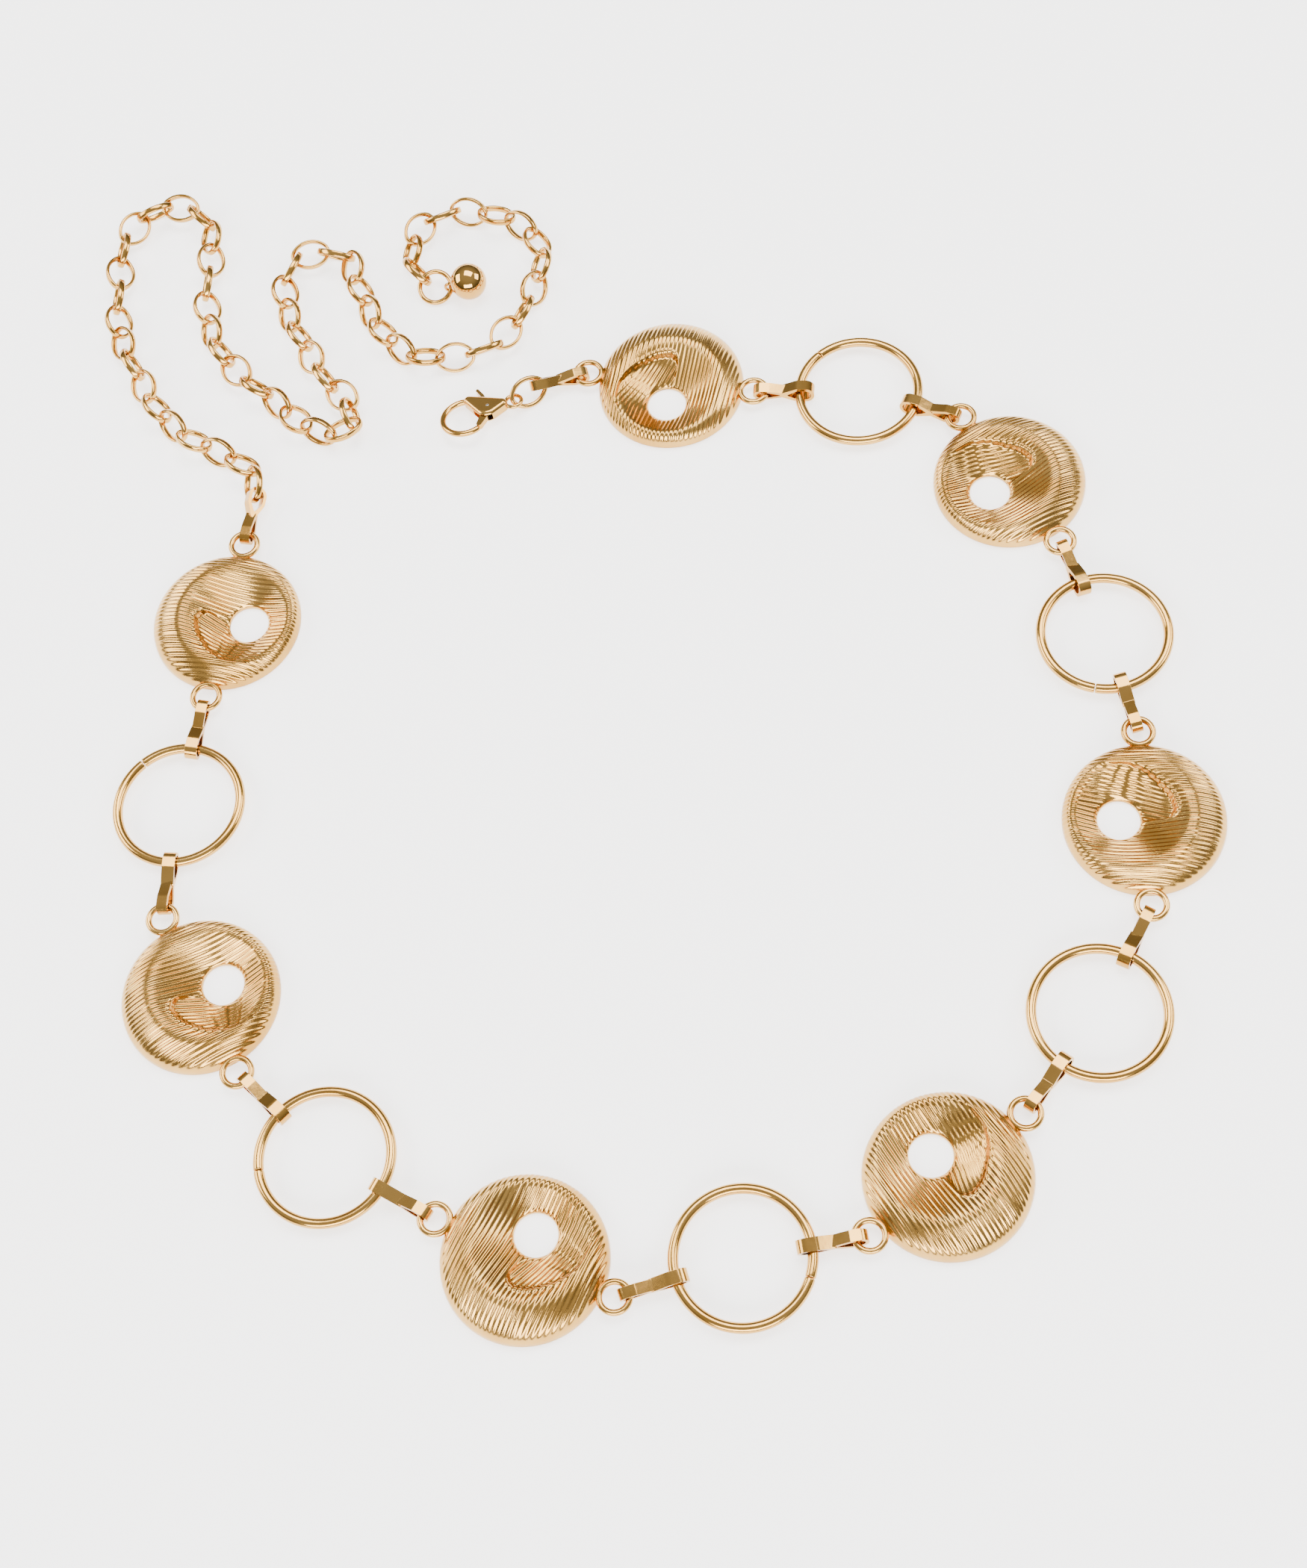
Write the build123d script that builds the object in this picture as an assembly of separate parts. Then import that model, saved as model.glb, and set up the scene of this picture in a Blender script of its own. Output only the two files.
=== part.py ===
"""Chain necklace: seven crater medallions and six rings joined by folded strip connectors.

One end of the chain carries a lobster clasp, the other a long extender of oval links with an
end ring and a ball drop. The necklace lies on a flat surface, z = 0, as an open loop.
"""
from build123d import *
import os
from math import asin, atan2, cos, degrees, hypot, radians, sin

# ---- Driving dimensions, millimetres ----
RING_OUTSIDE = 35.0
RING_WIRE = 2.6
WIRE_HEIGHT = 2.65              # height of the ring and eyelet wires' centre plane

MEDALLION_DIAMETER = 40.4
DOME_RIM = 0.8                  # upright edge at the foot of the dome
DOME_HEIGHT = 9.0               # height that the dome would reach without its crater
HOLE_OFFSET = 6.2               # the hole sits off centre, towards the inside of the loop
HOLE_DIAMETER = 10.6
CRATER_LIP = 1.5                # upright edge round the hole
CRATER_SLOPE = 2.0              # the crater widens this much for each millimetre of height
EYELET_OFFSET = 23.4
EYELET_RADIUS = 3.6             # wire centreline
EYELET_WIRE = 1.6

STRIP = 0.85                    # thickness of the connectors' folded strip
CONNECTOR_LENGTH = 16.9
RING_BORE = 3.3                 # clear height inside the loop that holds a ring
EYELET_BORE = 2.5               # clear height inside the loop that holds an eyelet
RING_LOOP_WIDTH = 3.2
EYELET_LOOP_WIDTH = 2.8
LOOP_PLAY = 1.9                 # straight run of each bore, in which a wire can slide
WAIST = 1.8

LINK_LENGTH = 11.6
LINK_WIDTH = 8.6
LINK_WALL = 1.0                 # wall thickness of the rounded band that a link is bent from
LINK_BAND = 1.8                 # width of that band
LINK_COUNT = 59
BEND_CUT = 0.65                 # a bent chain cuts inside its route by this part of each bend

CLASP_LINK_LENGTH = 11.5
CLASP_LINK_WIDTH = 8.5
CLASP_LINK_WIRE = 1.35

CLASP_HOOK_CENTRE = (14.3, -0.9)
CLASP_HOOK_RADIUS = 6.2
CLASP_HOOK_WIRE = 1.7
CLASP_THICKNESS = 3.6
CLASP_EYE_RADIUS = 2.25
CLASP_EYE_WIRE = 1.15
LEVER_PIVOT = (7.2, -0.6)
LEVER_THICKNESS = 1.6
SLOT_WIDTH = 1.9
PIN_DIAMETER = 1.0
PIN_PLAY = 0.05

END_RING_OUTSIDE = 10.5
END_RING_WIRE = 1.4
BALL_DIAMETER = 10.3
BALL_EYE_RADIUS = 1.7
BALL_EYE_WIRE = 0.9
BALL_DROOP = 27

# The origin is on the ground under the middle of the whole necklace.
LAYOUT_SHIFT = (-2.05, 1.99, 0.004)

# ---- Where the pieces lie: (x, y, heading), the heading running from the clasp to the extender ----
MEDALLIONS = [
    (15.0, 94.2, -10),
    (106.5, 59.1, -58.5),
    (135.1, -40.6, -90),
    (83.9, -130.4, -142),
    (-14.9, -149.8, 157),
    (-99.6, -83.9, 120),
    (-104.0, 22.8, 83),
]
RINGS = [
    (66.9, 88.8),
    (128.5, 11.3),
    (121.0, -91.3),
    (36.2, -149.8),
    (-64.2, -125.5),
    (-110.7, -31.8),
]
CLASP_LINK_PLACE = (-24.7, 92.4)
CLASP_LINK_HEADING = 213
CLASP_LINK_ROLL = -40
CLASP_LINK_HEIGHT = 3.1
CLASP_EYE_PLACE = (-28.8, 89.5)
CLASP_HEADING = 203
CLASP_HEIGHT = 3.1
CLASP_ROLL = 12
END_RING_PLACE = (-53.5, 130.4)
END_RING_TILT = 20              # its far side leans up, where the last link holds it
END_RING_HEIGHT = 2.4
BALL_PLACE = (-43.4, 129.7)
EXTENDER_ROUTE = [
    (-98.6, 61.2), (-98.6, 66.6), (-103.5, 71.8), (-113.5, 76.6), (-129.0, 88.5), (-138.5, 104.5),
    (-145.5, 119.0), (-147.0, 137.5), (-146.0, 156.0), (-140.0, 161.5), (-132.0, 163.0),
    (-124.0, 159.0), (-120.5, 141.5), (-120.0, 124.5), (-107.5, 101.0), (-94.5, 90.5), (-81.0, 79.0),
    (-74.0, 81.5), (-71.0, 86.0), (-77.0, 92.0), (-87.5, 107.0), (-96.5, 124.0), (-98.0, 134.0),
    (-95.5, 141.5), (-87.0, 144.0), (-80.0, 143.0), (-77.5, 136.0), (-74.0, 126.5), (-65.0, 110.5),
    (-57.0, 104.5), (-48.0, 104.5), (-39.0, 106.0), (-32.0, 110.0), (-28.0, 118.5), (-22.5, 134.0),
    (-23.5, 144.0), (-28.0, 150.0), (-40.5, 155.0), (-47.5, 157.0), (-55.5, 155.0), (-60.5, 148.5),
    (-62.5, 141.0), (-59.0, 135.0), (-56.3, 131.6),
]
# Roll of the even links about their own length, at some links; the odd links are square to them.
LINK_ROLL = [
    (1, 40), (3, 30), (5, 35), (8, 70), (11, 30), (14, 35), (16, 15), (20, 65), (24, 22), (27, 70),
    (31, 66), (34, 55), (38, 20), (41, 45), (45, 62), (48, 22), (50, 50), (54, 22), (57, 62), (59, 30),
]


def heading_vector(angle):
    return Vector(cos(radians(angle)), sin(radians(angle)), 0)


def place(piece, origin, heading, roll=0, pitch=0):
    """Put a piece made along +X at a point: rolled about its length, pitched up, turned to a heading."""
    return Pos(*origin) * Rot(0, 0, heading) * Rot(0, -pitch, 0) * Rot(roll, 0, 0) * piece


# ---- Medallions and rings ----
def make_ring():
    return Torus((RING_OUTSIDE - RING_WIRE) / 2, RING_WIRE / 2)


def make_medallion():
    """A solid domed disc, sunk by a cone towards its off-centre hole, with an eyelet at each side."""
    radius = MEDALLION_DIAMETER / 2
    rise = DOME_HEIGHT - DOME_RIM
    outline = (
        Line((0, DOME_HEIGHT), (0, 0))
        + Line((0, 0), (radius, 0))
        + Line((radius, 0), (radius, DOME_RIM))
        + EllipticalCenterArc((0, DOME_RIM), radius, rise, start_angle=0, arc_size=90)
    )
    dome = revolve(Plane.XZ * make_face(outline), Axis.Z)
    cone_height = DOME_HEIGHT - CRATER_LIP + 1
    crater = Cone(
        HOLE_DIAMETER / 2,
        HOLE_DIAMETER / 2 + CRATER_SLOPE * cone_height,
        cone_height,
        align=(Align.CENTER, Align.CENTER, Align.MIN),
    )
    hole = Cylinder(HOLE_DIAMETER / 2, 3 * DOME_HEIGHT)
    dome -= Pos(0, -HOLE_OFFSET, CRATER_LIP) * crater
    dome -= Pos(0, -HOLE_OFFSET, 0) * hole
    for side in (-1, 1):
        dome += Pos(side * EYELET_OFFSET, 0, WIRE_HEIGHT) * Torus(EYELET_RADIUS, EYELET_WIRE / 2)
    return dome


# ---- Folded strip connectors ----
def connector_loop(bore, width):
    """One loop of the figure-8, from its waist at the origin to its round end on +X."""
    half = CONNECTOR_LENGTH / 2
    end = half - STRIP - bore / 2
    outside = make_hull(
        (Pos(end, 0) * Circle(bore / 2 + STRIP)).edges()
        + (Pos(end - LOOP_PLAY, 0) * Circle(bore / 2 + STRIP)).edges()
        + Circle(WAIST / 2).edges()
    )
    inside = make_hull(
        (Pos(end, 0) * Circle(bore / 2)).edges()
        + (Pos(end - LOOP_PLAY, 0) * Circle(bore / 2)).edges()
        + (Pos(WAIST / 2 + STRIP / 2, 0) * Circle(STRIP / 3)).edges()
    )
    return extrude(Plane.XZ * (outside - inside), width / 2, both=True)


def make_connector(small_twist=0, large_twist=0, holds_link=False):
    """Figure-8 strip: a small loop for an eyelet on -X and a larger loop on +X, each a little twisted."""
    small = Rot(small_twist, 0, 0) * Rot(0, 0, 180) * connector_loop(EYELET_BORE, EYELET_LOOP_WIDTH)
    width = EYELET_LOOP_WIDTH if holds_link else RING_LOOP_WIDTH
    large = Rot(large_twist, 0, 0) * connector_loop(RING_BORE, width)
    return small + large


def eyelet_centre(medallion, side):
    """side is -1 for the eyelet towards the clasp and 1 for the one towards the extender."""
    x, y, heading = medallion
    return Vector(x, y, WIRE_HEIGHT) + heading_vector(heading) * (side * EYELET_OFFSET)


def connector_place(eyelet, held):
    """Centre, heading and pitch of a connector between an eyelet centre and the wire that it holds."""
    level = Vector(held.X - eyelet.X, held.Y - eyelet.Y, 0).normalized()
    eyelet_wire = eyelet + level * EYELET_RADIUS
    along = (held - eyelet_wire).normalized()
    half = CONNECTOR_LENGTH / 2 - STRIP
    reach = (half - EYELET_BORE / 2) + (half - RING_BORE / 2)
    slack = reach - (held - eyelet_wire).length
    centre = eyelet_wire + along * (half - EYELET_BORE / 2 - slack / 2)
    return centre, degrees(atan2(along.Y, along.X)), degrees(asin(along.Z))


def ring_wire_point(ring, eyelet):
    """The point of a ring's wire centreline that is nearest an eyelet."""
    centre = Vector(ring[0], ring[1], WIRE_HEIGHT)
    return centre + (eyelet - centre).normalized() * ((RING_OUTSIDE - RING_WIRE) / 2)


# ---- Oval links ----
def oval_path(length, width):
    """A four-arc oval about the origin, with end arcs of 0.7 of the half width."""
    a = length / 2
    b = width / 2
    end_radius = 0.7 * b
    end_centre = a - end_radius
    side_radius = (end_centre**2 + b**2 - end_radius**2) / (2 * (b - end_radius))
    side_centre = side_radius - b
    turn = degrees(atan2(side_centre, end_centre))
    arcs = [
        CenterArc((end_centre, 0), end_radius, -turn, 2 * turn),
        CenterArc((0, -side_centre), side_radius, turn, 180 - 2 * turn),
        CenterArc((-end_centre, 0), end_radius, 180 - turn, 2 * turn),
        CenterArc((0, side_centre), side_radius, 180 + turn, 180 - 2 * turn),
    ]
    return Wire(arcs)


def make_link(length, width, wall, band):
    """An oval link of rounded section, lying flat with its length along X."""
    path = oval_path(length - wall, width - wall)
    section = Plane((length / 2 - wall / 2, 0, 0), x_dir=(1, 0, 0), z_dir=(0, 1, 0)) * Ellipse(wall / 2, band / 2)
    return sweep(section, path=path, is_frenet=True)


def lying_height(roll):
    """Height of a link's centre when its lower side touches the ground at this roll."""
    drop = (LINK_WIDTH - LINK_WALL) / 2 * abs(sin(radians(roll)))
    return drop + hypot(LINK_WALL / 2 * sin(radians(roll)), LINK_BAND / 2 * cos(radians(roll)))


def even_roll(number):
    """Roll that an even link has at this place in the chain, read between the stated links."""
    for (low, low_roll), (high, high_roll) in zip(LINK_ROLL, LINK_ROLL[1:]):
        if number <= high:
            return low_roll + (high_roll - low_roll) * (number - low) / (high - low)


def extender_places():
    """(centre, heading, roll) of every extender link, evenly spaced along the route.

    The links that stand most upright rest on the ground and carry their neighbours level with them.
    """
    route = Spline(*[(x, y, 0) for x, y in EXTENDER_ROUTE])
    joints = [route.position_at(k / LINK_COUNT) for k in range(LINK_COUNT + 1)]
    places = []
    for number, (start, end) in enumerate(zip(joints, joints[1:]), 1):
        roll = even_roll(number)
        height = max(lying_height(roll), lying_height(roll - 90))
        on_curve = route.position_at((number - 0.5) / LINK_COUNT)
        middle = (start + end) * ((1 + BEND_CUT) / 2) - on_curve * BEND_CUT
        centre = Vector(middle.X, middle.Y, height)
        heading = degrees(atan2(end.Y - start.Y, end.X - start.X))
        places.append((centre, heading, roll - 90 * (number % 2)))
    return places


def group_sizes():
    """Links in each rigid group: every fourth group has three links and the others have two."""
    sizes = []
    while sum(sizes) < LINK_COUNT:
        sizes.append(3 if len(sizes) % 4 == 0 else 2)
    return sizes


# ---- Lobster clasp, made along +X from its eye at the origin ----
def make_clasp_body():
    """Teardrop body with its eye and hook, slotted for the lever and bored for the pin."""
    outline = make_hull(
        (Pos(3.2, -0.2) * Circle(1.5)).edges()
        + (Pos(7.4, -0.8) * Circle(3.5)).edges()
        + (Pos(11.3, -5.9) * Circle(1.4)).edges()
    )
    body = extrude(outline, CLASP_THICKNESS / 2, both=True)
    body = fillet(body.edges().filter_by(Plane.XY), 1.1)
    eye = Torus(CLASP_EYE_RADIUS, CLASP_EYE_WIRE / 2)
    centre_x, centre_y = CLASP_HOOK_CENTRE
    hook_path = CenterArc((centre_x, centre_y), CLASP_HOOK_RADIUS, -126, 236)
    hook = sweep(Plane(hook_path @ 0, z_dir=hook_path % 0) * Circle(CLASP_HOOK_WIRE / 2), path=hook_path)
    return body - lever_slot() - clasp_pin_hole() + eye + hook


def lever_slot():
    """The room that the lever needs, from closed to fully open, one slot deep."""
    x, y = LEVER_PIVOT
    hub = Pos(x, y) * Circle(2.1)
    arm = Polygon((x - 2.2, y + 1.0), (x + 3.2, y + 7.2), (x + 9, y + 4), (x + 9, y - 0.2), (x, y - 1.6), align=None)
    tab = Polygon((x - 1.2, y + 0.5), (x - 4.6, y - 4.9), (x - 1.0, y - 7), (x + 1.4, y - 6.2), (x + 1.4, y), align=None)
    return extrude(hub + arm + tab, SLOT_WIDTH / 2, both=True)


def clasp_pin_hole():
    return Pos(*LEVER_PIVOT) * Cylinder(PIN_DIAMETER / 2, 2 * CLASP_THICKNESS)


def make_clasp_pin():
    return Pos(*LEVER_PIVOT) * Cylinder(PIN_DIAMETER / 2, CLASP_THICKNESS)


def make_clasp_lever():
    """Bell crank: an arm that closes the hook and a thumb tab on the other side of the pin."""
    x, y = LEVER_PIVOT
    arm = make_hull(
        (Pos(x, y) * Circle(1.5)).edges()
        + (Pos(11.4, 4.1) * Circle(0.8)).edges()
    )
    tab = make_hull((Pos(x, y) * Circle(1.1)).edges() + (Pos(x + 0.1, -6.2) * Circle(0.5)).edges())
    tip = make_hull((Pos(x + 0.1, -6.2) * Circle(0.5)).edges() + (Pos(x + 0.7, -8.6) * Circle(0.45)).edges())
    lever = extrude(arm + tab + tip, LEVER_THICKNESS / 2, both=True)
    lever -= Pos(x, y, LEVER_THICKNESS / 4) * Cylinder(1.75, LEVER_THICKNESS / 2)
    return lever - Pos(x, y) * Cylinder(PIN_DIAMETER / 2 + PIN_PLAY, 2 * LEVER_THICKNESS)


def make_clasp_spring():
    """Small torsion coil round the pin, beside the lever's thin hub."""
    x, y = LEVER_PIVOT
    coil = Helix(pitch=0.26, height=0.52, radius=0.85)
    wire = sweep(Plane(coil @ 0, z_dir=coil % 0) * Circle(0.11), path=coil, is_frenet=True)
    return Pos(x, y, 0.2) * wire


# ---- End ring and ball drop ----
def make_end_ring():
    return Torus((END_RING_OUTSIDE - END_RING_WIRE) / 2, END_RING_WIRE / 2)


def make_ball_drop():
    """A ball with a small upright eye at its side, which droops towards the ground."""
    ball = Rot(90, 0, 0) * Sphere(BALL_DIAMETER / 2)
    eye = Pos(BALL_DIAMETER / 2 + 1, 0, 0) * Rot(90, 0, 0) * Torus(BALL_EYE_RADIUS, BALL_EYE_WIRE / 2)
    return Rot(0, BALL_DROOP, 0) * (ball + eye)


# ---- The laid-out necklace ----
def connector_twists(number):
    """Twist of a connector's small and large loops about its length."""
    if number == 1:
        return 0, CLASP_LINK_ROLL
    if number == 14:
        return 0, even_roll(1) - 90
    lean = 6 if number % 3 else -6
    return lean * (1 - number % 2 * 2), -lean


def connector_ends():
    """(eyelet centre, held wire point) of every connector, numbered from the clasp end."""
    link_heading = heading_vector(CLASP_LINK_HEADING)
    clasp_link = Vector(*CLASP_LINK_PLACE, CLASP_LINK_HEIGHT)
    first_wire = clasp_link - link_heading * ((CLASP_LINK_LENGTH - CLASP_LINK_WIRE) / 2)
    ends = [(eyelet_centre(MEDALLIONS[0], -1), first_wire)]
    for index, ring in enumerate(RINGS):
        for medallion, side in ((MEDALLIONS[index], 1), (MEDALLIONS[index + 1], -1)):
            eyelet = eyelet_centre(medallion, side)
            ends.append((eyelet, ring_wire_point(ring, eyelet)))
    first_link, heading, _ = extender_places()[0]
    last_wire = first_link - heading_vector(heading) * ((LINK_LENGTH - LINK_WALL) / 2)
    ends.append((eyelet_centre(MEDALLIONS[-1], 1), last_wire))
    return ends


def build_nodes():
    """Every node's solid, or solids, in the laid-out necklace, before the shift to its origin."""
    nodes = {}
    medallion = make_medallion()
    for number, (x, y, heading) in enumerate(MEDALLIONS, 1):
        nodes[f"medallion_{number}"] = place(medallion, (x, y, 0), heading)
    ring = make_ring()
    for number, (x, y) in enumerate(RINGS, 1):
        nodes[f"ring_{number}"] = place(ring, (x, y, WIRE_HEIGHT), 0)
    for number, (eyelet, held) in enumerate(connector_ends(), 1):
        centre, heading, pitch = connector_place(eyelet, held)
        connector = make_connector(*connector_twists(number), holds_link=number in (1, 14))
        nodes[f"connector_{number}"] = place(connector, centre, heading, pitch=pitch)
    clasp_link = make_link(CLASP_LINK_LENGTH, CLASP_LINK_WIDTH, CLASP_LINK_WIRE, CLASP_LINK_WIRE)
    nodes["clasp_link"] = place(
        clasp_link, (*CLASP_LINK_PLACE, CLASP_LINK_HEIGHT), CLASP_LINK_HEADING, CLASP_LINK_ROLL
    )
    for name, piece in (
        ("clasp_body", make_clasp_body()),
        ("clasp_lever", make_clasp_lever()),
        ("clasp_pin", make_clasp_pin()),
        ("clasp_spring", make_clasp_spring()),
    ):
        nodes[name] = place(piece, (*CLASP_EYE_PLACE, CLASP_HEIGHT), CLASP_HEADING, CLASP_ROLL)
    link = make_link(LINK_LENGTH, LINK_WIDTH, LINK_WALL, LINK_BAND)
    places = extender_places()
    first = 0
    for number, size in enumerate(group_sizes(), 1):
        links = [place(link, *link_place) for link_place in places[first:first + size]]
        nodes[f"extender_links_{number:02d}"] = Compound(children=links)
        first += size
    nodes["end_ring"] = place(make_end_ring(), (*END_RING_PLACE, END_RING_HEIGHT), 0, END_RING_TILT)
    to_ring = degrees(atan2(END_RING_PLACE[1] - BALL_PLACE[1], END_RING_PLACE[0] - BALL_PLACE[0]))
    nodes["ball_drop"] = place(make_ball_drop(), (*BALL_PLACE, BALL_DIAMETER / 2), to_ring)
    return nodes


def export_nodes(nodes):
    os.makedirs("parts", exist_ok=True)
    for name, shape in nodes.items():
        export_step(Pos(*LAYOUT_SHIFT) * shape, f"parts/{name}.step")


export_nodes(build_nodes())
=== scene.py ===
"""The look of the chain necklace: ridged medallions, wire rings, folded connectors, links and clasp."""

from math import cos, pi, radians, sin

import bmesh
import bpy
import numpy as np
from mathutils import Matrix, Vector, noise


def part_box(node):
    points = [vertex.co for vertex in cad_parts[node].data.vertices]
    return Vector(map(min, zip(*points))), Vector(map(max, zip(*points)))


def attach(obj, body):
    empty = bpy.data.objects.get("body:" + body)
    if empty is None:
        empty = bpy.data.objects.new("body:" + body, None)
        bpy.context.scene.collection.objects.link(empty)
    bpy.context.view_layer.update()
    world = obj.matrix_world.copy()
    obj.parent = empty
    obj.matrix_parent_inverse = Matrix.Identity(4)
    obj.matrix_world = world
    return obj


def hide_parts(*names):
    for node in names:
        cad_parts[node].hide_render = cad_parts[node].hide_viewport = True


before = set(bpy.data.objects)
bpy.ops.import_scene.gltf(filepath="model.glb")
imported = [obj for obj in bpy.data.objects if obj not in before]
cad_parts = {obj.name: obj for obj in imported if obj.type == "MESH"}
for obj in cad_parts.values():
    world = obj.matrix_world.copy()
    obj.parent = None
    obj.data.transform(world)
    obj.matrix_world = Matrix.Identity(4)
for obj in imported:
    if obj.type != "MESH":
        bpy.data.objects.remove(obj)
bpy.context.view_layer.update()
MM = 0.001

# ---- Sizes that repeat the CAD model's, millimetres ----
MEDALLION_RADIUS = 20.2
DOME_RIM = 0.8
DOME_HEIGHT = 9.0
HOLE_Y = -6.2
HOLE_RADIUS = 5.3
CRATER_LIP = 1.5
CRATER_SLOPE = 2.0
EYELET_OFFSET = 23.4
EYELET_RADIUS = 3.6
EYELET_WIRE = 1.6
WIRE_HEIGHT = 2.65
RING_RADIUS = 16.2
RING_WIRE = 2.6
LINK_LENGTH = 11.6
LINK_WIDTH = 8.6
LINK_WALL = 1.0
LINK_BAND = 1.8
MEDALLION_HEADINGS = (-10, -58.5, -90, -142, 157, 120, 83)
RING_SEAMS = (131, 258, 60, -17, 192, 132)      # where each ring's wire ends meet, degrees

# ---- The spiral ledge inside each medallion's crater: (angle about the hole, distance from its centre) ----
LEDGE = [(81, 10.6), (84, 11.8), (88, 12.9), (95, 13.7), (110, 13.6), (128, 13.1), (150, 13.5), (169, 13.9),
         (195, 14.0), (222, 13.2), (240, 12.4)]
LEDGE_START = 236               # it rises from nothing here and winds clockwise
LEDGE_END = 81                  # it curls in here, beside a crease that runs down to the hole
LEDGE_DEPTH = 1.35
LEDGE_EDGE = 0.9                # the ledge's wall slopes over this width
BEAD_WIDTH = 1.3
BEAD_HEIGHT = 0.28
HOLE_ROUNDING = 1.3             # the crater's floor bends down over this width to the hole
SMOOTH_RIM_START = 17.6         # from here outwards the thick side's ridges fade
RIDGE_PITCH = 1.15
RIDGE_HEIGHT = 0.34
OUTER_LEAN = radians(4)         # the ridges' lean on the dome and, further, on the ledge's floor
INNER_LEAN = radians(22)
BACK_CHAMFER = 0.3              # at the foot of the rim
HOLE_CHAMFER = 0.25


# ---- Mesh helpers ----
def new_object(name, vertices, faces, material):
    """A smooth-shaded object from millimetre vertices."""
    mesh = bpy.data.meshes.new(name)
    mesh.from_pydata((np.asarray(vertices) * MM).tolist(), [], faces)
    mesh.polygons.foreach_set("use_smooth", [True] * len(mesh.polygons))
    mesh.materials.append(material)
    mesh.update()
    piece = bpy.data.objects.new(name, mesh)
    bpy.context.scene.collection.objects.link(piece)
    return piece


def grid_faces(rows, columns, closed_rows, closed_columns=True, first=0):
    """Quads of a rows x columns grid of vertices, row by row."""
    faces = []
    for row in range(rows if closed_rows else rows - 1):
        low = first + row * columns
        high = first + (row + 1) % rows * columns
        for column in range(columns if closed_columns else columns - 1):
            after = (column + 1) % columns
            faces.append((low + column, high + column, high + after, low + after))
    return faces


def joined(parts):
    """(vertices, faces) of several such pairs together."""
    vertices, faces = [], []
    for part_vertices, part_faces in parts:
        faces += [tuple(index + len(vertices) for index in face) for face in part_faces]
        vertices += [tuple(point) for point in part_vertices]
    return vertices, faces


def band_loop(path, normals, wall, band, sides, power=2.0, scales=None):
    """A closed band along a flat path: an oval section, squarer for a higher power."""
    vertices = []
    for index, (point, normal) in enumerate(zip(path, normals)):
        scale = 1 if scales is None else scales[index]
        for side in range(sides):
            turn = 2 * pi * side / sides
            across = abs(cos(turn)) ** (2 / power) * (1 if cos(turn) > 0 else -1) * wall / 2 * scale
            up = abs(sin(turn)) ** (2 / power) * (1 if sin(turn) > 0 else -1) * band / 2 * scale
            vertices.append((point[0] + normal[0] * across, point[1] + normal[1] * across, up))
    return vertices, grid_faces(len(path), sides, closed_rows=scales is None)


def wire_hoop(radius, wire, steps, sides, seam=0.0):
    """A ring of round wire about the origin, with a seam of this width at +X where its rounded ends meet."""
    if not seam:
        turns = [2 * pi * step / steps for step in range(steps)]
        scales = None
    else:
        ends = [0, 0.04, 0.12, 0.25, 0.4]
        shrink = [0.75, 0.88, 0.95, 0.99, 1.0]
        inset = [(seam / 2 + along) / radius for along in ends]
        body = np.linspace(inset[-1], 2 * pi - inset[-1], steps).tolist()
        turns = inset[:-1] + body + [2 * pi - turn for turn in reversed(inset[:-1])]
        scales = shrink[:-1] + [1.0] * steps + shrink[-2::-1]
    normals = [(cos(turn), sin(turn)) for turn in turns]
    path = [(radius * x, radius * y) for x, y in normals]
    vertices, faces = band_loop(path, normals, wire, wire, sides, scales=scales)
    if seam:
        faces.append(tuple(range(sides)))
        faces.append(tuple(reversed(range(len(vertices) - sides, len(vertices)))))
    return vertices, faces


def moved(part, offset):
    vertices, faces = part
    return [tuple(a + b for a, b in zip(point, offset)) for point in vertices], faces


# ---- Materials ----
GOLD = (0.66, 0.385, 0.105, 1)
GOLD_WARM = (0.52, 0.27, 0.055, 1)


def node(tree, kind, **values):
    """A shader node with its named inputs set."""
    made = tree.nodes.new(kind)
    for name, value in values.items():
        made.inputs[name.replace("_", " ")].default_value = value
    return made


def gold_material(name, roughness, roughness_spread, bump, bump_scale):
    """Gold-tone plating: slow drift between two golds, fine wear in the gloss, and a faint waviness."""
    material = bpy.data.materials.new(name)
    material.use_nodes = True
    tree = material.node_tree
    shader = tree.nodes["Principled BSDF"]
    shader.inputs["Metallic"].default_value = 1.0
    place = tree.nodes.new("ShaderNodeTexCoord")

    drift = node(tree, "ShaderNodeTexNoise", Scale=70.0, Detail=3.0)
    tint = tree.nodes.new("ShaderNodeValToRGB")
    tint.color_ramp.elements[0].position = 0.3
    tint.color_ramp.elements[0].color = GOLD_WARM
    tint.color_ramp.elements[1].position = 0.65
    tint.color_ramp.elements[1].color = GOLD
    tree.links.new(place.outputs["Object"], drift.inputs["Vector"])
    tree.links.new(drift.outputs["Fac"], tint.inputs["Fac"])
    tree.links.new(tint.outputs["Color"], shader.inputs["Base Color"])

    wear = node(tree, "ShaderNodeTexNoise", Scale=900.0, Detail=4.0, Roughness=0.65)
    gloss = node(tree, "ShaderNodeMapRange")
    gloss.inputs["To Min"].default_value = roughness - roughness_spread
    gloss.inputs["To Max"].default_value = roughness + roughness_spread
    tree.links.new(place.outputs["Object"], wear.inputs["Vector"])
    tree.links.new(wear.outputs["Fac"], gloss.inputs["Value"])
    tree.links.new(gloss.outputs["Result"], shader.inputs["Roughness"])

    wave = node(tree, "ShaderNodeTexNoise", Scale=bump_scale, Detail=2.0)
    relief = node(tree, "ShaderNodeBump", Strength=bump, Distance=0.00006)
    tree.links.new(place.outputs["Object"], wave.inputs["Vector"])
    tree.links.new(wave.outputs["Fac"], relief.inputs["Height"])
    tree.links.new(relief.outputs["Normal"], shader.inputs["Normal"])
    return material


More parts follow.
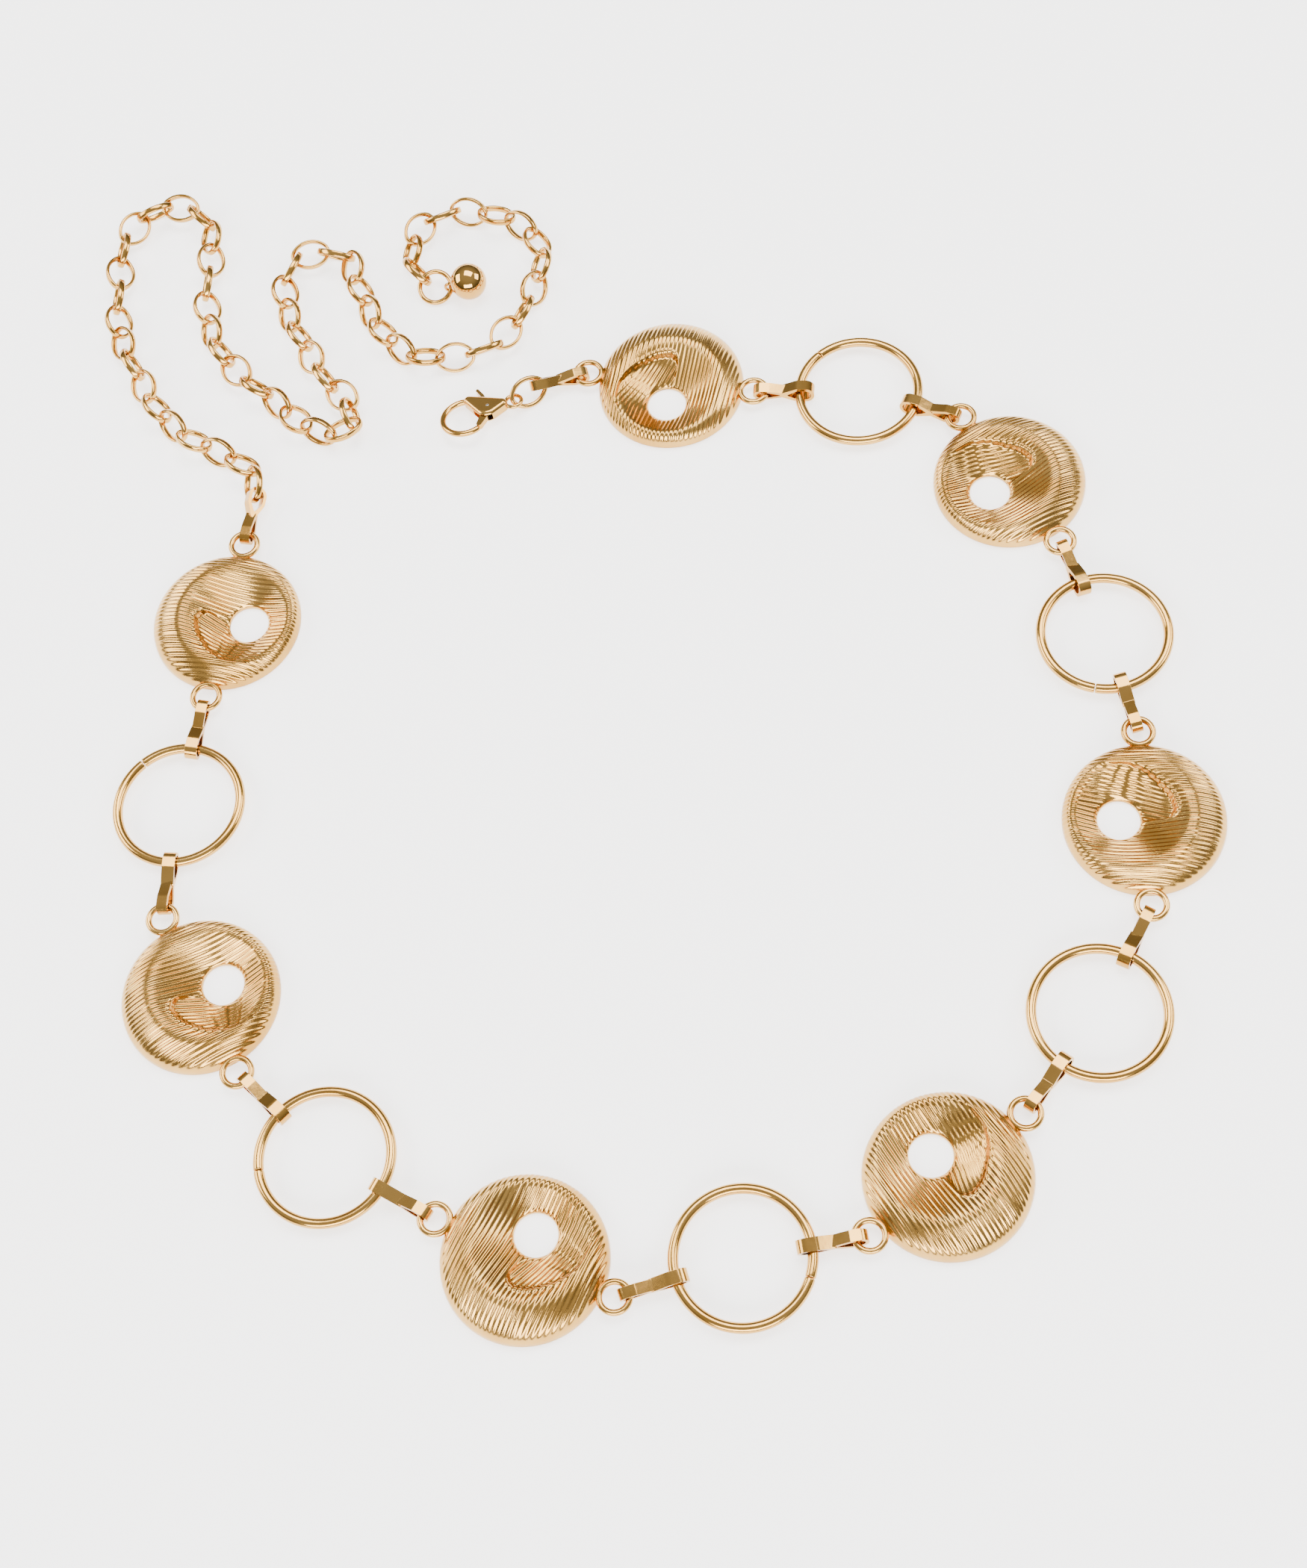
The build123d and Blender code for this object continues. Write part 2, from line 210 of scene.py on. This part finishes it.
def steel_material():
    """Grey spring steel with fine drawn lines in its gloss."""
    material = gold_material("clasp_steel", 0.3, 0.08, 0.3, 3000.0)
    ramp = next(n for n in material.node_tree.nodes if n.type == "VALTORGB")
    ramp.color_ramp.elements[0].color = (0.42, 0.39, 0.34, 1)
    ramp.color_ramp.elements[1].color = (0.56, 0.52, 0.45, 1)
    return material


# ---- Medallions ----
def ridge_noise(x, y, scale, seed):
    """Smooth noise in -1..1 at every point, stretched along the ridges."""
    points = zip(x.ravel() * scale, y.ravel() * scale * 0.35)
    values = [noise.noise((px, py, seed)) for px, py in points]
    return np.array(values).reshape(x.shape)


def ridges(x, y, lean, seed):
    """Uneven ridges, about 1 high, that run along Y leant clockwise and sway a little."""
    turned = x * cos(lean) - y * sin(lean)
    along = x * sin(lean) + y * cos(lean)
    sway = ridge_noise(turned, along, 0.16, seed) * 0.5 + ridge_noise(turned, along, 0.5, seed + 3) * 0.12
    height = np.cos((turned + sway) * 2 * pi / RIDGE_PITCH)
    strength = 0.9 + 0.5 * ridge_noise(turned, along, 0.45, seed + 11)
    return (0.5 + 0.5 * height) ** 0.8 * strength


def smooth_step(value):
    value = np.clip(value, 0, 1)
    return value * value * (3 - 2 * value)


def smooth_min(a, b, width):
    """The lower of two surfaces, rounded where they meet."""
    blend = np.clip(0.5 + 0.5 * (b - a) / width, 0, 1)
    return b * (1 - blend) + a * blend - width * blend * (1 - blend)


def medallion_height(x, y):
    """Height of the medallion's top, and how strongly its ridges show there."""
    radius = np.hypot(x, y)
    dome = DOME_RIM + (DOME_HEIGHT - DOME_RIM) * np.sqrt(np.clip(1 - (radius / MEDALLION_RADIUS) ** 2, 0, 1))
    away = np.hypot(x, y - HOLE_Y)
    bearing = np.degrees(np.arctan2(y - HOLE_Y, x)) % 360
    crater = CRATER_LIP + (away - HOLE_RADIUS) / CRATER_SLOPE
    height = smooth_min(dome, crater, 1.5)

    ledge = np.interp(bearing, [angle for angle, _ in LEDGE], [distance for _, distance in LEDGE])
    wound = smooth_step((LEDGE_START - bearing) / (LEDGE_START - LEDGE_END))
    crease = smooth_step((bearing - LEDGE_END) * away * radians(1) / 1.0)
    growth = np.where(bearing > LEDGE_START, 0, wound ** 0.7 * crease)
    inside = smooth_step((ledge - away) / LEDGE_EDGE + 0.2)
    depth = LEDGE_DEPTH * growth * (0.3 + 0.7 * smooth_step((away - HOLE_RADIUS) / 7))
    bead = np.exp(-(((away - ledge - 0.45 * BEAD_WIDTH * wound) / (0.32 * BEAD_WIDTH)) ** 2))
    height = height - depth * inside + BEAD_HEIGHT * bead * growth

    hole_edge = np.clip((away - HOLE_RADIUS) / HOLE_ROUNDING, 0, 1)
    height = height - 0.5 * (1 - hole_edge) ** 2.5
    smooth_outside = 1 - 0.75 * smooth_step((radius - SMOOTH_RIM_START) / 2) * smooth_step((y + 6) / 8)
    return height, inside * growth, smooth_outside * smooth_step(hole_edge * 1.4) * (1 - 0.5 * bead * growth)


def medallion_body(steps=600, rows=84):
    """The casting's disc: ridged top, round hole, upright rim and flat back, with a little unevenness."""
    turn = np.linspace(0, 2 * pi, steps, endpoint=False)[None, :]
    across = np.linspace(0, 1, rows)[:, None]
    x = (1 - across) * HOLE_RADIUS * np.cos(turn) + across * MEDALLION_RADIUS * np.cos(turn)
    y = (1 - across) * (HOLE_Y + HOLE_RADIUS * np.sin(turn)) + across * MEDALLION_RADIUS * np.sin(turn)
    height, floor, strength = medallion_height(x, y)
    outer = ridges(x, y, OUTER_LEAN, 1.0)
    inner = ridges(x, y, INNER_LEAN, 5.0)
    height = height + RIDGE_HEIGHT * (outer * (1 - floor) + inner * floor - 0.5) * strength
    top = np.stack([x, y, height], 2)

    def wall(centre_y, radius, z):
        return np.stack([radius * np.cos(turn[0]), centre_y + radius * np.sin(turn[0]), np.full(steps, z)], 1)

    hole_rows = [
        wall(HOLE_Y, HOLE_RADIUS + HOLE_CHAMFER, 0),
        wall(HOLE_Y, HOLE_RADIUS, HOLE_CHAMFER),
        wall(HOLE_Y, HOLE_RADIUS, 0.7),
    ]
    back_radius = MEDALLION_RADIUS - BACK_CHAMFER
    rim_rows = [wall(0, MEDALLION_RADIUS, 0.35), wall(0, back_radius, 0)]
    back_width = back_radius - HOLE_RADIUS - HOLE_CHAMFER
    back_rows = [wall(HOLE_Y * part, back_radius - back_width * part, 0) for part in (0.06, 0.5, 0.94)]
    vertices = np.concatenate(hole_rows + list(top) + rim_rows + back_rows)
    return vertices.tolist(), grid_faces(len(vertices) // steps, steps, closed_rows=True)


def make_medallion_mesh(material):
    """The disc with its two eyelets."""
    parts = [medallion_body()]
    for side in (-1, 1):
        hoop = wire_hoop(EYELET_RADIUS, EYELET_WIRE, 72, 20)
        parts.append(moved(hoop, (side * EYELET_OFFSET, 0, WIRE_HEIGHT)))
    vertices, faces = joined(parts)
    return new_object("medallion_look_1", vertices, faces, material)


def add_medallions(material):
    first = make_medallion_mesh(material)
    for number, heading in enumerate(MEDALLION_HEADINGS, 1):
        piece = first
        if number > 1:
            piece = bpy.data.objects.new(f"medallion_look_{number}", first.data)
            bpy.context.scene.collection.objects.link(piece)
        low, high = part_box(f"medallion_{number}")
        centre = (low + high) / 2
        turned = Matrix.Rotation(radians(heading), 4, "Z")
        piece.matrix_world = Matrix.Translation((centre.x, centre.y, low.z)) @ turned
        stand_for(piece, f"medallion_{number}", f"medallion_{number}")


def stand_for(piece, node_name, body):
    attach(piece, body)
    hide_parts(node_name)


# ---- Rings ----
def add_rings(material):
    """Six hoops of round wire, each with the seam where its ends were pressed together."""
    vertices, faces = wire_hoop(RING_RADIUS, RING_WIRE, 200, 28, seam=0.14)
    first = new_object("ring_look_1", vertices, faces, material)
    for number, seam in enumerate(RING_SEAMS, 1):
        piece = first
        if number > 1:
            piece = bpy.data.objects.new(f"ring_look_{number}", first.data)
            bpy.context.scene.collection.objects.link(piece)
        low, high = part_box(f"ring_{number}")
        piece.matrix_world = Matrix.Translation((low + high) / 2) @ Matrix.Rotation(radians(seam), 4, "Z")
        stand_for(piece, f"ring_{number}", f"ring_{number}")


# ---- Oval links ----
def link_shape(steps=96, sides=16):
    """One link about the origin, its length along X: a flattened band bent to an oval."""
    a = (LINK_LENGTH - LINK_WALL) / 2
    b = (LINK_WIDTH - LINK_WALL) / 2
    end_radius = 0.7 * b
    end_centre = a - end_radius
    side_radius = (end_centre**2 + b**2 - end_radius**2) / (2 * (b - end_radius))
    side_centre = side_radius - b
    turn = np.arctan2(side_centre, end_centre)
    path, normals = [], []
    for step in range(steps):
        angle = 2 * pi * step / steps
        facing = (cos(angle), sin(angle))
        quarter = abs(np.arctan2(abs(facing[1]), abs(facing[0])))
        x_sign = 1 if facing[0] >= 0 else -1
        y_sign = 1 if facing[1] >= 0 else -1
        if quarter < turn:
            point = (x_sign * (end_centre + end_radius * abs(facing[0])), facing[1] * end_radius)
        else:
            point = (facing[0] * side_radius, y_sign * (side_radius * abs(facing[1]) - side_centre))
        path.append(point)
        normals.append(facing)
    return band_loop(path, normals, LINK_WALL, LINK_BAND, sides, power=2.7)


def loose_pieces(cad):
    """The vertex positions of each separate solid in a CAD node, as arrays."""
    shape = bmesh.new()
    shape.from_mesh(cad.data)
    bmesh.ops.remove_doubles(shape, verts=shape.verts, dist=1e-7)
    left = set(shape.verts)
    groups = []
    while left:
        stack = [left.pop()]
        group = []
        while stack:
            vertex = stack.pop()
            group.append(vertex.co.copy())
            for edge in vertex.link_edges:
                other = edge.other_vert(vertex)
                if other in left:
                    left.remove(other)
                    stack.append(other)
        groups.append(np.array(group))
    shape.free()
    return groups


def principal_frame(points):
    """Matrix whose X, Y and Z run along a solid's length, width and thickness, at its middle."""
    middle = points.mean(0)
    _, _, axes = np.linalg.svd(points - middle, full_matrices=False)
    spans = [np.ptp((points - middle) @ axis) for axis in axes]
    centre = middle + sum(axis * (((points - middle) @ axis).max() + ((points - middle) @ axis).min()) / 2
                          for axis in axes)
    order = np.argsort(spans)[::-1]
    x_axis, y_axis = axes[order[0]], axes[order[1]]
    return np.stack([x_axis, y_axis, np.cross(x_axis, y_axis)], 1), centre


def add_extender(material):
    """A finer band where each CAD link lies."""
    shape_vertices, shape_faces = link_shape()
    shape_vertices = np.array(shape_vertices)
    names = sorted(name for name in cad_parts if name.startswith("extender_links"))
    for name in names:
        parts = []
        for points in loose_pieces(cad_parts[name]):
            axes, centre = principal_frame(points)
            parts.append((shape_vertices @ axes.T + centre / MM, shape_faces))
        vertices, faces = joined(parts)
        piece = new_object(f"{name}_look", vertices, faces, material)
        stand_for(piece, name, name)


# ---- Pieces refined from their CAD shape ----
CREASE_ANGLE = 35               # degrees; edges sharper than this are rounded


def refined_copy(name, body, material, edge):
    """A copy of a CAD node, its flat faces cleaned and its sharp edges rounded over this many millimetres."""
    shape = bmesh.new()
    shape.from_mesh(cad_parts[name].data)
    bmesh.ops.remove_doubles(shape, verts=shape.verts, dist=2e-6)
    bmesh.ops.dissolve_limit(shape, angle_limit=radians(2), verts=shape.verts, edges=shape.edges)
    mesh = bpy.data.meshes.new(f"{name}_look")
    shape.to_mesh(mesh)
    shape.free()
    mesh.polygons.foreach_set("use_smooth", [True] * len(mesh.polygons))
    mesh.materials.clear()
    mesh.materials.append(material)
    piece = bpy.data.objects.new(f"{name}_look", mesh)
    bpy.context.scene.collection.objects.link(piece)
    if edge:
        bevel = piece.modifiers.new("soft_edges", "BEVEL")
        bevel.width = edge * MM
        bevel.segments = 3
        bevel.limit_method = "ANGLE"
        bevel.angle_limit = radians(CREASE_ANGLE)
        bevel.harden_normals = False
        weighted = piece.modifiers.new("even_shading", "WEIGHTED_NORMAL")
        weighted.keep_sharp = False
    stand_for(piece, name, body)
    return piece


# ---- Stage, lights and camera ----
FLOOR_DROP = 0.00005            # the floor is this far under the necklace, metres
CAMERA_PLACE = (0.06625, -0.26681, 0.5168)


def add_floor():
    """A plain pale surface, which glows a little so that it reads as a lit white sweep."""
    mesh = bpy.data.meshes.new("floor")
    mesh.from_pydata([(-3, -3, 0), (3, -3, 0), (3, 3, 0), (-3, 3, 0)], [], [(0, 1, 2, 3)])
    floor = bpy.data.objects.new("floor", mesh)
    bpy.context.scene.collection.objects.link(floor)
    material = bpy.data.materials.new("pale_floor")
    material.use_nodes = True
    shader = material.node_tree.nodes["Principled BSDF"]
    shader.inputs["Base Color"].default_value = (0.93, 0.925, 0.925, 1)
    shader.inputs["Roughness"].default_value = 0.9
    shader.inputs["Specular IOR Level"].default_value = 0.1
    shader.inputs["Emission Color"].default_value = (1, 1, 1, 1)
    shader.inputs["Emission Strength"].default_value = 2.0
    mesh.materials.append(material)
    floor.location.z = -FLOOR_DROP


def add_softbox(name, place, width, height, power):
    """A slightly warm rectangular light that faces the origin."""
    light = bpy.data.lights.new(name, "AREA")
    light.shape = "RECTANGLE"
    light.size = width
    light.size_y = height
    light.energy = power
    light.color = (1, 0.98, 0.96)
    softbox = bpy.data.objects.new(name, light)
    bpy.context.scene.collection.objects.link(softbox)
    softbox.location = place
    softbox.rotation_euler = (-Vector(place)).to_track_quat("-Z", "Y").to_euler()


def add_world():
    """Even studio surroundings: pale overhead, darker towards the horizon."""
    world = bpy.data.worlds.new("studio")
    bpy.context.scene.world = world
    world.use_nodes = True
    tree = world.node_tree
    backdrop = tree.nodes["Background"]
    backdrop.inputs["Strength"].default_value = 1.0
    place = tree.nodes.new("ShaderNodeTexCoord")
    split = tree.nodes.new("ShaderNodeSeparateXYZ")
    ramp = tree.nodes.new("ShaderNodeValToRGB")
    ramp.color_ramp.elements[0].position = 0.0
    ramp.color_ramp.elements[0].color = (0.10, 0.095, 0.09, 1)
    ramp.color_ramp.elements[1].position = 0.85
    ramp.color_ramp.elements[1].color = (0.6, 0.6, 0.6, 1)
    middle = ramp.color_ramp.elements.new(0.35)
    middle.color = (0.30, 0.295, 0.29, 1)
    tree.links.new(place.outputs["Generated"], split.inputs["Vector"])
    tree.links.new(split.outputs["Z"], ramp.inputs["Fac"])
    tree.links.new(ramp.outputs["Color"], backdrop.inputs["Color"])


def add_lights():
    add_world()
    add_softbox("front_softbox", (0.05, -1.15, 0.55), 1.3, 0.5, 26)
    add_softbox("left_softbox", (-1.1, 0.15, 0.6), 0.9, 0.6, 15)
    add_softbox("right_softbox", (1.15, 0.35, 0.75), 0.8, 0.6, 12)
    add_softbox("overhead_softbox", (0.1, 0.5, 1.3), 1.1, 0.8, 24)


def add_camera():
    """A camera above and in front of the necklace, looking down at about 64 degrees."""
    data = bpy.data.cameras.new("camera")
    data.sensor_fit = "VERTICAL"
    data.sensor_height = 36.0
    data.lens = 51.43
    data.clip_start = 0.01
    camera = bpy.data.objects.new("camera", data)
    bpy.context.scene.collection.objects.link(camera)
    right = Vector((0.9950, 0.0215, -0.0972))
    up = Vector((0.0215, 0.9068, 0.4210))
    back = right.cross(up).normalized()
    up = back.cross(right).normalized()
    axes = Matrix((right.normalized(), up, back)).transposed().to_4x4()
    camera.matrix_world = Matrix.Translation(CAMERA_PLACE) @ axes
    bpy.context.scene.camera = camera


# ---- The necklace ----
plated = gold_material("gold_polished", 0.16, 0.04, 0.35, 420.0)
casting = gold_material("gold_casting", 0.2, 0.05, 0.25, 1600.0)
bright = gold_material("gold_mirror", 0.07, 0.03, 0.12, 260.0)
steel = steel_material()

add_medallions(casting)
add_rings(plated)
for connector in range(1, 15):
    refined_copy(f"connector_{connector}", f"connector_{connector}", plated, 0.16)
add_extender(plated)
refined_copy("clasp_link", "clasp_link", plated, 0)
refined_copy("clasp_body", "clasp", plated, 0.2)
refined_copy("clasp_lever", "clasp_lever", plated, 0.2)
refined_copy("clasp_pin", "clasp", steel, 0.1)
refined_copy("clasp_spring", "clasp", steel, 0)
refined_copy("end_ring", "end_ring", plated, 0)
refined_copy("ball_drop", "ball_drop", bright, 0)

add_floor()
add_lights()
add_camera()
